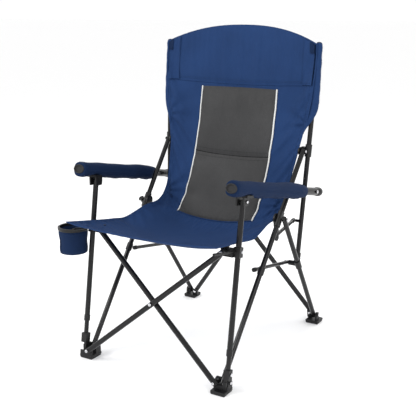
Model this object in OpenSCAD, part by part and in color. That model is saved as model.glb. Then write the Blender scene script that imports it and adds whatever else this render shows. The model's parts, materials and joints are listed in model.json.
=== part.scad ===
// Folding camp chair: crossed front and rear tubes, scissor side frames, sling seat and back.
// X runs across the chair, the sitter faces -Y, Z is up and the soles stand on Z = 0.

/* [Frame] */
// radius of the side frame tubes, mm
tube_r = 8; // [7.5:0.25:8]
// radius of the crossed front and rear tubes, mm
cross_r = 8.5; // [8:0.25:8.5]
// radius of the telescoping front post's inner tube, mm
inner_r = 7.3; // [7:0.1:7.3]
// lean of the front tubes and posts, degrees
lean = 9; // [8.5:0.25:9.25]
// height of the front cross above its lower pivots, along its plane, mm
cross_rise = 391; // [385:1:395]

/* [Arms] */
// radius of the arm tubes, mm
arm_r = 13.5; // [12:0.5:13.5]
// width of the padded arm sleeves, mm
sleeve_w = 46; // [40:1:48]
// slope of the arms down towards the back, degrees
arm_slope = 11.6; // [10:0.2:12]

/* [Soft parts] */
// thickness of the seat and back cloth, mm
cloth_t = 4; // [3:0.5:5]
// half the width of the seat cloth, mm
seat_half = 222; // [200:1:224]
// half the width of the padded back panel, mm
panel_half = 144; // [120:1:150]

/* [Cup holder] */
// bore radius of the cup holder, mm
cup_bore_r = 42; // [38:0.5:44]
// height of the cup holder, mm
cup_h = 84; // [70:1:90]

/* [Hidden] */

black = [0.06, 0.06, 0.065];
plastic = [0.04, 0.04, 0.045];
navy = [0.2, 0.27, 0.45];
grey = [0.3, 0.3, 0.31];
steel = [0.75, 0.75, 0.77];

// half the difference between the cup holder's reach on the left and the arm's on the right
shift_x = 26.1;
shift_y = -296.5;

pin_r = 3;
hole_r = 3.05;
head_r = 5.5;
head_t = 2.5;
gap = 0.3;

// side frame points, [across, back, up], right side
foot_pt = [243.5, 8, 30];
diag_top = [262, 489.8, 644.7];
plate_pt = [256.2, 337.6, 450.5];
leg_top = [273.6, 337.6, 450.5];
leg_low = [259, 632, 30];
joint_pt = [267.3, 464.9, 268.6];
collar_pt = [251.9, 227, 309.4];
lobe_pt = [235.5, 346, 386];
lug_pt = [235.5, 487, 409];
post_base = [258, 480, 281];
post_top = [285, 542, 990];
arm_pin = [296.5, 500, 513];
post_in_x = 265;
post_foot_z = 69;

// crossed tubes
cross_x = 229;
cross_y = -25;
cross_z = 32;
cross_off = 8.8;
rear_low_x = 239.5;
rear_top_x = 232;
rear_y = 645;
rear_z = 30;
rear_lean = 12.7;
rear_rise = 635.6;

cup_x = 320;
cup_y = 22;
cup_top = 420;

// a solid round bar from p to q
module bar(p, q, r) {
    v = q - p;
    len = norm(v);
    translate(p)
        rotate([0, acos(v[2] / len), atan2(v[1], v[0])])
            cylinder(h = len, r = r);
}

// a point at a distance s from p towards q
function along(p, q, s) = p + (q - p) * s / norm(q - p);

// a round bar along X
module cross_bar(x0, x1, y, z, r) {
    translate([x0, y, z])
        rotate([0, 90, 0])
            cylinder(h = x1 - x0, r = r);
}

module box(a, b) {
    translate(a)
        cube(b - a);
}

module row_frame() {
    translate([shift_x, shift_y, 0])
        children();
}

module right_side() {
    row_frame() children();
}

module left_side() {
    row_frame() mirror([1, 0, 0]) children();
}

// frame of the front cross: y is its normal, z runs up its plane
module front_plane() {
    translate([0, cross_y, cross_z])
        rotate([-lean, 0, 0])
            children();
}

module rear_plane() {
    translate([0, rear_y, rear_z])
        rotate([rear_lean, 0, 0])
            children();
}

module post_frame() {
    translate([post_in_x, 0, post_foot_z])
        rotate([-lean, 0, 0])
            children();
}

module arm_frame() {
    translate([270, 8, 614])
        rotate([-arm_slope, 0, -3.08])
            children();
}

// a rivet along local y, head at the front
module rivet_y(x, y0, y1, z) {
    translate([x, y1, z])
        rotate([90, 0, 0])
            cylinder(h = y1 - y0, r = pin_r);
    translate([x, y0, z])
        rotate([90, 0, 0])
            cylinder(h = head_t, r = head_r);
}

// ---------------- front feet ----------------
module front_foot(off) {
    color(plastic) {
        difference() {
            union() {
                box([222, -29, 4], [268.5, 22, 12]);
                for (x = [[222, 234.6], [252.4, 268.5]]) {
                    cross_bar(x[0], x[1], foot_pt[1], foot_pt[2], 12);
                    box([x[0], foot_pt[1] - 12, 5], [x[1], foot_pt[1] + 12, foot_pt[2]]);
                }
                front_plane() {
                    box([222, off + cross_r + gap, -22], [268.5, off + cross_r + gap + 4, -6]);
                    box([222, off + cross_r + gap, -20], [234, off + cross_r + gap + 3.6, 9]);
                }
                box([255.5, -14, 8], [266.5, 2, 40]);
                post_frame() box([-8.5, -7, -36], [0.5, 7, -24]);
            }
            box([234.6, -2.5, 12], [252.4, 40, 60]);
        }
        cross_bar(221.5, 269, foot_pt[1], foot_pt[2], pin_r);
        cross_bar(268.5, 271, foot_pt[1], foot_pt[2], head_r);
        front_plane() rivet_y(cross_x, off - cross_r - gap, off + cross_r + 3, 0);
    }
}

module front_sole() {
    color(plastic) box([223, -28, 0], [267.5, 21, 4]);
}

// ---------------- telescoping front posts ----------------
module post_clamp() {
    color(plastic) post_frame() {
        difference() {
            box([-9.5, -10.5, -24], [10, 10.5, 6]);
            translate([0, 0, -21]) cylinder(h = 40, r = inner_r);
        }
        cross_bar(10, 12.5, 0, -8, head_r - 1);
    }
}

module post_lower() {
    color(black) post_frame() translate([0, 0, -21]) cylinder(h = 321, r = inner_r);
}

module post_upper() {
    color(black) post_frame() difference() {
        translate([0, 0, 50]) cylinder(h = 454, r = cross_r);
        translate([0, 0, 40]) cylinder(h = 270, r = inner_r + gap);
    }
}

// bracket on the post carrying the top of one cross tube and the seat's corner peg
module seat_bracket(off) {
    back_y = off - 18.9 + cross_r + gap;
    color(plastic) {
        post_frame() difference() {
            union() {
                box([-10.5, -10.5, 338], [10.5, 10.5, 368]);
                box([-48, back_y, 338], [-9.5, back_y + 6, 366]);
                box([-12, min(back_y, -10.5), 338], [-8, 8, 366]);
            }
            translate([0, 0, 330]) cylinder(h = 50, r = cross_r);
        }
        front_plane() rivet_y(cross_x, off - cross_r - gap, off + cross_r + 3, cross_rise);
        bar([258, 48, 420], [250, -58, 438], 4);
    }
}

// ---------------- crossed tubes ----------------
module front_x(off, pinned) {
    color(black) front_plane() difference() {
        union() {
            bar(along([-cross_x, off, 0], [cross_x, off, cross_rise], -9),
                along([cross_x, off, cross_rise], [-cross_x, off, 0], -9), cross_r);
            if (pinned) rivet_y(0, off - cross_r - 1, off + 3 * cross_r + 1, cross_rise / 2);
        }
        for (p = [[-cross_x, 0], [cross_x, cross_rise]])
            translate([p[0], off + 20, p[1]]) rotate([90, 0, 0]) cylinder(h = 40, r = hole_r);
        if (!pinned) translate([0, off + 20, cross_rise / 2]) rotate([90, 0, 0]) cylinder(h = 40, r = hole_r);
    }
}

module rear_x(off, rivet) {
    color(black) rear_plane() difference() {
        union() {
            bar(along([-rear_low_x, off, 0], [rear_top_x, off, rear_rise], -5),
                along([rear_top_x, off, rear_rise], [-rear_low_x, off, 0], -9), cross_r);
            if (rivet) translate([0, off, rear_rise * rear_low_x / (rear_low_x + rear_top_x)])
                rotate([90, 0, 0]) cylinder(h = cross_r + 2, r = head_r);
        }
        translate([-rear_low_x, off + 20, 0]) rotate([90, 0, 0]) cylinder(h = 40, r = hole_r);
    }
}

// ---------------- side frame ----------------
module diagonal() {
    color(black) difference() {
        bar(along(foot_pt, diag_top, -7), along(diag_top, foot_pt, -6), tube_r);
        cross_bar(200, 300, foot_pt[1], foot_pt[2], hole_r);
        cross_bar(200, 300, diag_top[1], diag_top[2], hole_r);
    }
}

// clamp on the diagonal with the rear leg's pivot and a lobe for the short strut
module hinge_plate() {
    a = along(foot_pt, diag_top, 508);
    b = along(foot_pt, diag_top, 560);
    color(plastic) {
        difference() {
            union() {
                bar(a, b, 10.6);
                cross_bar(242, 247, plate_pt[1], plate_pt[2], 17);
                cross_bar(242, 247, lobe_pt[1], lobe_pt[2], 11);
                hull() {
                    cross_bar(242, 247, plate_pt[1], plate_pt[2], 15);
                    cross_bar(242, 247, lobe_pt[1], lobe_pt[2], 10);
                }
            }
            bar(along(foot_pt, diag_top, 490), along(foot_pt, diag_top, 580), tube_r);
            box([264.3, 200, 300], [300, 600, 600]);
        }
        cross_bar(264.5, 284, plate_pt[1], plate_pt[2], pin_r);
        cross_bar(281.9, 284.4, plate_pt[1], plate_pt[2], head_r + 1);
        cross_bar(227.5, 243, lobe_pt[1], lobe_pt[2], pin_r);
        cross_bar(226.8, 229.2, lobe_pt[1], lobe_pt[2], head_r);
    }
}

module rear_leg() {
    color(black) difference() {
        bar(along(leg_top, leg_low, -8), along(leg_low, leg_top, -7), tube_r);
        cross_bar(200, 300, leg_top[1], leg_top[2], hole_r);
        cross_bar(200, 300, leg_low[1], leg_low[2], hole_r);
    }
}

module rear_foot(off) {
    color(plastic) {
        difference() {
            union() {
                box([236, 616, 4], [282, 662, 12]);
                box([269, leg_low[1] - 10.5, 8], [276, leg_low[1] + 10.5, leg_low[2]]);
                cross_bar(269, 276, leg_low[1], leg_low[2], 10.5);
                rear_plane() box([230, off - cross_r - gap - 4, -20], [250, off - cross_r - gap, 9]);
            }
            box([200, 600, -20], [300, 700, 4]);
        }
        cross_bar(250.6, 276, leg_low[1], leg_low[2], pin_r);
        cross_bar(276, 278.5, leg_low[1], leg_low[2], head_r);
        rear_plane() rivet_y(rear_low_x, off - cross_r - gap - 4, off + cross_r + 2.5, 0);
    }
}

module rear_sole() {
    color(plastic) box([237, 617, 0], [281, 661, 4]);
}

// collar and boss on the rear leg where the side link turns
module leg_joint() {
    color(plastic) {
        difference() {
            union() {
                bar(along(joint_pt, leg_top, 17), along(joint_pt, leg_low, 17), 10.8);
                cross_bar(235, 262, joint_pt[1], joint_pt[2], 8.5);
            }
            bar(leg_top, leg_low, tube_r);
        }
        cross_bar(221.5, 240, joint_pt[1], joint_pt[2], pin_r);
        cross_bar(219.3, 221.6, joint_pt[1], joint_pt[2], head_r);
    }
}

module side_link() {
    link_x = 228.3;
    c = [link_x, collar_pt[1], collar_pt[2]];
    j = [link_x, joint_pt[1], joint_pt[2]];
    color(black) difference() {
        bar(along(c, j, -6), along(j, c, -7), 6);
        cross_bar(200, 260, j[1], j[2], hole_r);
    }
}

module link_collar() {
    color(plastic) difference() {
        bar(along(collar_pt, foot_pt, 12), along(collar_pt, diag_top, 12), 10.3);
        bar(foot_pt, diag_top, tube_r + 0.06);
    }
}

module strut() {
    color(black) difference() {
        bar(along(lobe_pt, lug_pt, -7), along(lug_pt, lobe_pt, -6), 6);
        cross_bar(200, 260, lobe_pt[1], lobe_pt[2], hole_r);
    }
}

// collar that the back post slides through, hinged on top of the diagonal
module back_guide() {
    mid = along(post_base, post_top, norm(post_top - post_base) * (diag_top[2] - 281) / 709);
    color(plastic) {
        difference() {
            union() {
                bar(along(mid, post_base, 20), along(mid, post_top, 20), 11);
                cross_bar(248.8, 253.4, diag_top[1], diag_top[2], 12);
                box([248.8, diag_top[1], diag_top[2] - 12], [253.4, mid[1] + 2, diag_top[2] + 12]);
                box([248.8, mid[1] - 8, diag_top[2] - 12], [264, mid[1] + 6, diag_top[2] + 12]);
            }
            bar(along(post_base, post_top, 250), along(post_base, post_top, 500), tube_r + 0.06);
        }
        cross_bar(250, 271, diag_top[1], diag_top[2], pin_r);
        cross_bar(270.6, 273.2, diag_top[1], diag_top[2], head_r);
    }
}

module back_post() {
    a = along(post_base, post_top, norm(post_top - post_base) * (lug_pt[2] - 281) / 709);
    color(black) {
        bar(post_base, post_top, tube_r);
        cross_bar(243.5, a[0], a[1], a[2], 5);
        cross_bar(arm_pin[0] - 30, arm_pin[0] + 16, arm_pin[1], arm_pin[2], pin_r);
        cross_bar(arm_pin[0] + arm_r + 1, arm_pin[0] + arm_r + 3.5, arm_pin[1], arm_pin[2], head_r);
    }
}

module post_shoe() {
    color(plastic) difference() {
        bar(post_base, along(post_base, post_top, 20), 10.3);
        bar(post_base, post_top, tube_r);
    }
}

module post_sleeve() {
    color(navy) difference() {
        bar(along(post_base, post_top, 490), along(post_base, post_top, 719), tube_r + 3.5);
        bar(along(post_base, post_top, 480), post_top, tube_r);
    }
}

// ---------------- arms ----------------
module arm_tube() {
    color(black) difference() {
        arm_frame() difference() {
            translate([0, 6, 0]) rotate([-90, 0, 0]) cylinder(h = 540, r = arm_r);
            rotate([-90, 0, 0]) cylinder(h = 30, r = arm_r - 2);
            translate([0, 520, 0]) rotate([-90, 0, 0]) cylinder(h = 40, r = arm_r - 2);
        }
        cross_bar(arm_pin[0] - 30, arm_pin[0] + 30, arm_pin[1], arm_pin[2], hole_r);
    }
}

module arm_sleeve() {
    half = sleeve_w / 2;
    color(navy) arm_frame() difference() {
        translate([0, 440, 0]) rotate([90, 0, 0]) linear_extrude(440)
            intersection() {
                union() {
                    translate([-half + 14, 0]) circle(r = 14);
                    translate([half - 14, 0]) circle(r = 14);
                    translate([-half + 9, 15]) circle(r = 9);
                    translate([half - 9, 15]) circle(r = 9);
                    translate([-half + 9, -14.5]) square([sleeve_w - 18, 38.5]);
                    translate([-half, -2]) square([sleeve_w, 17]);
                }
                translate([-half, -16.3]) square([sleeve_w, 60]);
            }
        translate([0, -10, 0]) rotate([-90, 0, 0]) cylinder(h = 480, r = arm_r);
    }
}

module arm_front_cap() {
    color(plastic) arm_frame() {
        translate([0, -2, 0]) rotate([-90, 0, 0]) cylinder(h = 8, r = arm_r - 0.5);
        rotate([-90, 0, 0]) cylinder(h = 28, r = arm_r - 2);
    }
}

module arm_rear_cap() {
    color(plastic) arm_frame() {
        translate([0, 546, 0]) rotate([-90, 0, 0]) cylinder(h = 4, r = arm_r + 0.8);
        translate([0, 522, 0]) rotate([-90, 0, 0]) cylinder(h = 25, r = arm_r - 2);
    }
}

// saddle under the arm, open below, standing over the front post's top
module arm_saddle() {
    color(plastic) {
        intersection() {
            arm_frame() box([-24, 50, -50], [20, 92, -16.5]);
            union() {
                box([251.2, 62, 551], [255.9, 93, 600]);
                box([274.1, 62, 551], [278.8, 93, 600]);
                arm_frame() box([-24, 54, -24], [20, 88, -16.5]);
            }
        }
        cross_bar(278.8, 281, 77.5, 563, head_r - 0.5);
    }
}

// ---------------- sling ----------------
module slab(pts, half) {
    n = len(pts);
    rotate([90, 0, 90])
        translate([0, 0, -half])
            linear_extrude(2 * half)
                polygon(concat(pts, [for (i = [n - 1:-1:0]) [pts[i][0], pts[i][1] + cloth_t]]));
}

module wall(pts, half, t) {
    n = len(pts);
    rotate([90, 0, 90])
        translate([0, 0, -half])
            linear_extrude(2 * half)
                polygon(concat(pts, [for (i = [n - 1:-1:0]) [pts[i][0] + t, pts[i][1] - t * 0.4]]));
}

module seat_front() {
    color(navy) row_frame() slab([[-72, 455], [-20, 447], [38, 440], [90, 431], [139, 421]], seat_half);
}

module seat_rear() {
    color(navy) row_frame() slab([[140, 421], [197, 412], [280, 405], [350, 405]], seat_half);
}

back_line = [[353, 408], [392, 470], [432, 540], [464, 601], [495, 700], [519, 780], [534, 836]];
pad_line = [[372, 438], [392, 470], [432, 540], [464, 601], [495, 700], [519, 780], [534, 836]];
back_top = [[547, 930], [554, 984], [558, 1016], [560, 1044]];

// outline of the back seen from the front, right half
back_edge = [[225, 400], [225, 560], [244, 610], [244, 668], [262, 690], [262, 985], [246, 1004],
    [205, 1020], [130, 1033], [60, 1039], [0, 1041]];

module back_fabric() {
    left_edge = [for (i = [len(back_edge) - 2:-1:0]) [-back_edge[i][0], back_edge[i][1]]];
    color(navy) row_frame() intersection() {
        wall(concat(back_line, back_top), 270, cloth_t);
        translate([0, 700, 0]) rotate([90, 0, 0]) linear_extrude(500) polygon(concat(back_edge, left_edge));
    }
}

module back_pad() {
    color(grey) row_frame() translate([0, -15.6, 0]) wall(pad_line, panel_half, 12);
}

// ---------------- cup holder ----------------
module cup_rim() {
    color(plastic) left_side() {
        difference() {
            union() {
                translate([cup_x, cup_y, cup_top - 8]) cylinder(h = 8, r = cup_bore_r + 6.5);
                box([275.5, 45, cup_top - 8], [287, 54, cup_top]);
            }
            translate([cup_x, cup_y, cup_top - 20]) cylinder(h = 40, r = cup_bore_r);
        }
    }
}

module cup_pouch() {
    color(navy) left_side() translate([cup_x, cup_y, cup_top - cup_h]) difference() {
        cylinder(h = cup_h - 8, r = cup_bore_r + 3);
        translate([0, 0, 3]) cylinder(h = cup_h, r = cup_bore_r);
    }
}

left_side() front_foot(-cross_off);  // front_foot_l
right_side() front_foot(cross_off);  // front_foot_r
left_side() front_sole();  // front_sole_l
right_side() front_sole();  // front_sole_r
left_side() post_clamp();  // post_clamp_l
right_side() post_clamp();  // post_clamp_r
left_side() post_lower();  // post_lower_l
right_side() post_lower();  // post_lower_r
left_side() post_upper();  // post_upper_l
right_side() post_upper();  // post_upper_r
left_side() seat_bracket(cross_off);  // seat_bracket_l
right_side() seat_bracket(-cross_off);  // seat_bracket_r
left_side() diagonal();  // diagonal_l
right_side() diagonal();  // diagonal_r
left_side() hinge_plate();  // hinge_plate_l
right_side() hinge_plate();  // hinge_plate_r
left_side() back_guide();  // back_guide_l
right_side() back_guide();  // back_guide_r
left_side() rear_leg();  // rear_leg_l
right_side() rear_leg();  // rear_leg_r
left_side() rear_foot(-cross_off);  // rear_foot_l
right_side() rear_foot(cross_off);  // rear_foot_r
left_side() rear_sole();  // rear_sole_l
right_side() rear_sole();  // rear_sole_r
left_side() leg_joint();  // leg_joint_l
right_side() leg_joint();  // leg_joint_r
left_side() side_link();  // side_link_l
right_side() side_link();  // side_link_r
left_side() link_collar();  // link_collar_l
right_side() link_collar();  // link_collar_r
left_side() strut();  // strut_l
right_side() strut();  // strut_r
left_side() back_post();  // back_post_l
right_side() back_post();  // back_post_r
left_side() post_shoe();  // post_shoe_l
right_side() post_shoe();  // post_shoe_r
left_side() post_sleeve();  // post_sleeve_l
right_side() post_sleeve();  // post_sleeve_r
left_side() arm_tube();  // arm_tube_l
right_side() arm_tube();  // arm_tube_r
left_side() arm_sleeve();  // arm_sleeve_l
right_side() arm_sleeve();  // arm_sleeve_r
left_side() arm_front_cap();  // arm_front_cap_l
right_side() arm_front_cap();  // arm_front_cap_r
left_side() arm_rear_cap();  // arm_rear_cap_l
right_side() arm_rear_cap();  // arm_rear_cap_r
left_side() arm_saddle();  // arm_saddle_l
right_side() arm_saddle();  // arm_saddle_r
row_frame() front_x(-cross_off, true);  // front_x_a
row_frame() mirror([1, 0, 0]) front_x(cross_off, false);  // front_x_b
row_frame() rear_x(-cross_off, true);  // rear_x_a
row_frame() mirror([1, 0, 0]) rear_x(cross_off, false);  // rear_x_b
seat_front();
seat_rear();
back_fabric();
back_pad();
cup_rim();
cup_pouch();
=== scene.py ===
import json
import math

import bpy
import numpy as np
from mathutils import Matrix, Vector


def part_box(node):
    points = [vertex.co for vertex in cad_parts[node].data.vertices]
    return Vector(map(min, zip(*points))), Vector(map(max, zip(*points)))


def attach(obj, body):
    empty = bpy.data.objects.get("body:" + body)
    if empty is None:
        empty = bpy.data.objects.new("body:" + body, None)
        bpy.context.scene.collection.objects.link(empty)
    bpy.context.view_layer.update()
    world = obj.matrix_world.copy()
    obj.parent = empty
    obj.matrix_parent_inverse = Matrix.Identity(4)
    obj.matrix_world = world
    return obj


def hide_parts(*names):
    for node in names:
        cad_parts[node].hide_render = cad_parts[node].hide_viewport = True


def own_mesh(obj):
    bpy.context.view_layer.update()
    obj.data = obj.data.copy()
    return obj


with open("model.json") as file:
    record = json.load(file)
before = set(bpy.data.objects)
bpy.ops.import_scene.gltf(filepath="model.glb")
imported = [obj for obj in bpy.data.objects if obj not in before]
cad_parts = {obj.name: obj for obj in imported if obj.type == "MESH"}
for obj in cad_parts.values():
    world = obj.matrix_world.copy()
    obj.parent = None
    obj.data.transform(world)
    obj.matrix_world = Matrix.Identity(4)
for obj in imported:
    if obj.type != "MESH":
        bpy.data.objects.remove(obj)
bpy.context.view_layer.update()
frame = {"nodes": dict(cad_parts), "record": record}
rng = np.random.default_rng(7)

# ---------------------------------------------------------------- frame of reference
low_l, high_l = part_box("front_sole_l")
low_r, high_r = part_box("front_sole_r")
SHIFT_X = (low_l.x + high_l.x + low_r.x + high_r.x) / 4
SHIFT_Y = (low_l.y + high_l.y) / 2 + 0.0035
POST_LOW = np.array([0.258, 0.480, 0.281])
POST_HIGH = np.array([0.285, 0.542, 0.990])
LEAN = math.radians(9)
REAR_LEAN = math.radians(-12.7)


def S(x, y, z):
    """Chair millimetres, measured from the middle of the front feet, to a row frame point in metres."""
    return np.array([x / 1000 + SHIFT_X, y / 1000 + SHIFT_Y, z / 1000])


def post_at(z, side):
    """Back post centre at a height, in the row frame."""
    t = (z - POST_LOW[2]) / (POST_HIGH[2] - POST_LOW[2])
    p = POST_LOW + (POST_HIGH - POST_LOW) * t
    return np.array([side * p[0] + SHIFT_X, p[1] + SHIFT_Y, z])


# ---------------------------------------------------------------- materials
class Nodes:
    def __init__(self, name):
        self.mat = bpy.data.materials.new(name)
        self.mat.use_nodes = True
        self.tree = self.mat.node_tree
        self.shader = self.tree.nodes["Principled BSDF"]

    def add(self, kind, **values):
        node = self.tree.nodes.new(kind)
        for key, value in values.items():
            if key in node.inputs:
                node.inputs[key].default_value = value
            else:
                setattr(node, key, value)
        return node

    def link(self, a, b):
        self.tree.links.new(a, b)

    def maths(self, op, a, b):
        node = self.tree.nodes.new("ShaderNodeMath")
        node.operation = op
        for i, v in enumerate((a, b)):
            if isinstance(v, (int, float)):
                node.inputs[i].default_value = v
            else:
                self.link(v, node.inputs[i])
        return node.outputs[0]

    def ramp(self, factor, stops):
        node = self.tree.nodes.new("ShaderNodeValToRGB")
        while len(node.color_ramp.elements) < len(stops):
            node.color_ramp.elements.new(0.5)
        for element, (place, colour) in zip(node.color_ramp.elements, stops):
            element.position = place
            element.color = (*colour, 1)
        self.link(factor, node.inputs[0])
        return node.outputs[0]


def shade(colour, k):
    return tuple(c * k for c in colour)


def cloth_material(name, colour, pitch=0.0011, rough=0.82, bump=0.35, fleck=0.0):
    """Plain weave: two crossed thread waves on the piece's own cloth coordinates, with slub and fading."""
    n = Nodes(name)
    uv = n.add("ShaderNodeUVMap", uv_map="cloth").outputs[0]
    warp = n.add("ShaderNodeTexWave", bands_direction="X", Scale=1 / pitch / 6.28 * 2, Distortion=0.6)
    weft = n.add("ShaderNodeTexWave", bands_direction="Y", Scale=1 / pitch / 6.28 * 2, Distortion=0.6)
    for wave in (warp, weft):
        n.link(uv, wave.inputs["Vector"])
    weave = n.maths("MAXIMUM", warp.outputs["Fac"], weft.outputs["Fac"])
    slub = n.add("ShaderNodeTexNoise", Scale=420.0, Detail=3.0)
    fade = n.add("ShaderNodeTexNoise", Scale=9.0, Detail=5.0)
    crease = n.add("ShaderNodeTexNoise", Scale=38.0, Detail=6.0, Roughness=0.65)
    for node in (slub, fade, crease):
        n.link(n.add("ShaderNodeTexCoord").outputs["Object"], node.inputs["Vector"])
    tone = n.maths("ADD", n.maths("MULTIPLY", fade.outputs["Fac"], 0.55),
                   n.maths("MULTIPLY", slub.outputs["Fac"], 0.45))
    base = n.ramp(tone, [(0.3, shade(colour, 0.84)), (0.5, colour), (0.72, shade(colour, 1.16 + fleck))])
    dark = n.add("ShaderNodeMix", data_type="RGBA", blend_type="MULTIPLY")
    dark.inputs[0].default_value = 0.35
    n.link(base, dark.inputs[6])
    n.link(n.ramp(weave, [(0.2, (0.62, 0.62, 0.62)), (0.9, (1, 1, 1))]), dark.inputs[7])
    n.link(dark.outputs[2], n.shader.inputs["Base Color"])
    n.link(n.maths("ADD", n.maths("MULTIPLY", slub.outputs["Fac"], 0.16), rough - 0.08),
           n.shader.inputs["Roughness"])
    height = n.maths("ADD", weave, n.maths("MULTIPLY", slub.outputs["Fac"], 0.5))
    fine = n.add("ShaderNodeBump", Strength=bump, Distance=0.0004)
    n.link(height, fine.inputs["Height"])
    soft = n.add("ShaderNodeBump", Strength=0.22, Distance=0.004)
    n.link(crease.outputs["Fac"], soft.inputs["Height"])
    n.link(soft.outputs[0], fine.inputs["Normal"])
    n.link(fine.outputs[0], n.shader.inputs["Normal"])
    n.shader.inputs["Sheen Weight"].default_value = 0.01
    n.shader.inputs["Sheen Roughness"].default_value = 0.45
    n.shader.inputs["Specular IOR Level"].default_value = 0.10
    return n.mat


def hard_material(name, colour, rough, spread, grain, bump, metal=0.0, coat=0.0, wear=None, gloss=0.5):
    """Coated metal or moulded plastic: tone and roughness vary, with fine grain and rubbed spots."""
    n = Nodes(name)
    place = n.add("ShaderNodeTexCoord").outputs["Object"]
    broad = n.add("ShaderNodeTexNoise", Scale=14.0, Detail=6.0, Roughness=0.6)
    fine = n.add("ShaderNodeTexNoise", Scale=grain, Detail=2.0)
    spots = n.add("ShaderNodeTexVoronoi", Scale=240.0)
    for node in (broad, fine, spots):
        n.link(place, node.inputs["Vector"])
    base = n.ramp(broad.outputs["Fac"],
                  [(0.32, shade(colour, 0.8)), (0.55, colour), (0.75, shade(colour, 1.3))])
    if wear:
        rubbed = n.add("ShaderNodeMix", data_type="RGBA")
        mask = n.maths("MULTIPLY", n.maths("GREATER_THAN", broad.outputs["Fac"], 0.66),
                       n.maths("LESS_THAN", spots.outputs["Distance"], 0.16))
        n.link(mask, rubbed.inputs[0])
        n.link(base, rubbed.inputs[6])
        rubbed.inputs[7].default_value = (*wear, 1)
        base = rubbed.outputs[2]
    n.link(base, n.shader.inputs["Base Color"])
    n.link(n.maths("ADD", n.maths("MULTIPLY", broad.outputs["Fac"], spread), rough - spread / 2),
           n.shader.inputs["Roughness"])
    relief = n.add("ShaderNodeBump", Strength=bump, Distance=0.0003)
    n.link(fine.outputs["Fac"], relief.inputs["Height"])
    n.link(relief.outputs[0], n.shader.inputs["Normal"])
    n.shader.inputs["Metallic"].default_value = metal
    n.shader.inputs["Specular IOR Level"].default_value = gloss
    n.shader.inputs["Coat Weight"].default_value = coat
    n.shader.inputs["Coat Roughness"].default_value = 0.2
    return n.mat


NAVY = (0.0142, 0.0385, 0.116)
navy = cloth_material("navy_cloth", NAVY)
navy_dark = cloth_material("navy_dark_cloth", shade(NAVY, 0.48), pitch=0.0013, bump=0.4)
grey = cloth_material("grey_cloth", (0.052, 0.052, 0.053), pitch=0.0009, bump=0.5, fleck=0.12)
# near-black seam colour: partly a dark seam thread, partly painted shade that deepens the look of the panel's
# middle seam valley
panel_seam_shade_mat = cloth_material("seam_thread_with_painted_shade", (0.014, 0.014, 0.015), pitch=0.0006)
white = cloth_material("piping", (0.72, 0.72, 0.70), pitch=0.0012, rough=0.7)
thread = cloth_material("thread", (0.013, 0.033, 0.092), pitch=0.0006, rough=0.6)
tube = hard_material("black_tube", (0.0075, 0.0075, 0.0082), 0.20, 0.10, 900.0, 0.06, coat=0.04,
                     wear=(0.05, 0.05, 0.052), gloss=0.26)
plastic = hard_material("black_plastic", (0.0085, 0.0085, 0.0092), 0.42, 0.18, 1500.0, 0.3, gloss=0.3)
rubber = hard_material("sole_rubber", (0.011, 0.011, 0.012), 0.78, 0.14, 700.0, 0.5)
steel = hard_material("steel", (0.62, 0.62, 0.64), 0.24, 0.16, 500.0, 0.1, metal=1.0)


# ---------------------------------------------------------------- mesh helpers
def mesh_object(name, verts, faces, mat, body, normals=None, uvs=None):
    mesh = bpy.data.meshes.new(name)
    mesh.from_pydata([tuple(v) for v in verts], [], [tuple(f) for f in faces])
    mesh.validate()
    mesh.polygons.foreach_set("use_smooth", [True] * len(mesh.polygons))
    layer = mesh.uv_layers.new(name="cloth")
    index = np.zeros(len(mesh.loops), np.int32)
    mesh.loops.foreach_get("vertex_index", index)
    flat = np.asarray(verts, float)[:, :2] if uvs is None else np.asarray(uvs, float)
    layer.data.foreach_set("uv", flat[index].astype(np.float32).ravel())
    if normals is not None:
        mesh.normals_split_custom_set_from_vertices([tuple(n) for n in normals])
    mesh.materials.append(mat)
    obj = bpy.data.objects.new(name, mesh)
    bpy.context.scene.collection.objects.link(obj)
    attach(obj, body)
    return obj


def unit(v):
    v = np.asarray(v, float)
    return v / np.maximum(np.linalg.norm(v, axis=-1, keepdims=True), 1e-12)


def refine(grid, k):
    """A denser grid through the same points, by Catmull-Rom curves along both directions."""
    def along(a, k):
        p = np.concatenate([2 * a[:1] - a[1:2], a, 2 * a[-1:] - a[-2:-1]])
        out = []
        for i in range(len(a) - 1):
            p0, p1, p2, p3 = p[i:i + 4]
            for j in range(k):
                t = j / k
                out.append(0.5 * (2 * p1 + (p2 - p0) * t + (2 * p0 - 5 * p1 + 4 * p2 - p3) * t * t
                                  + (3 * p1 - p0 - 3 * p2 + p3) * t ** 3))
        out.append(a[-1])
        return np.array(out)
    return along(along(grid, k).swapaxes(0, 1), k).swapaxes(0, 1)


def grid_normals(g):
    return unit(np.cross(np.gradient(g, axis=1), np.gradient(g, axis=0)))


def arc_uv(g):
    """Cloth coordinates in metres: running length across and along the grid."""
    du = np.linalg.norm(np.diff(g, axis=1), axis=2).mean(0)
    dv = np.linalg.norm(np.diff(g, axis=0), axis=2).mean(1)
    u = np.concatenate([[0], np.cumsum(du)])
    v = np.concatenate([[0], np.cumsum(dv)])
    return np.stack(np.meshgrid(u, v), axis=-1)


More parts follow.
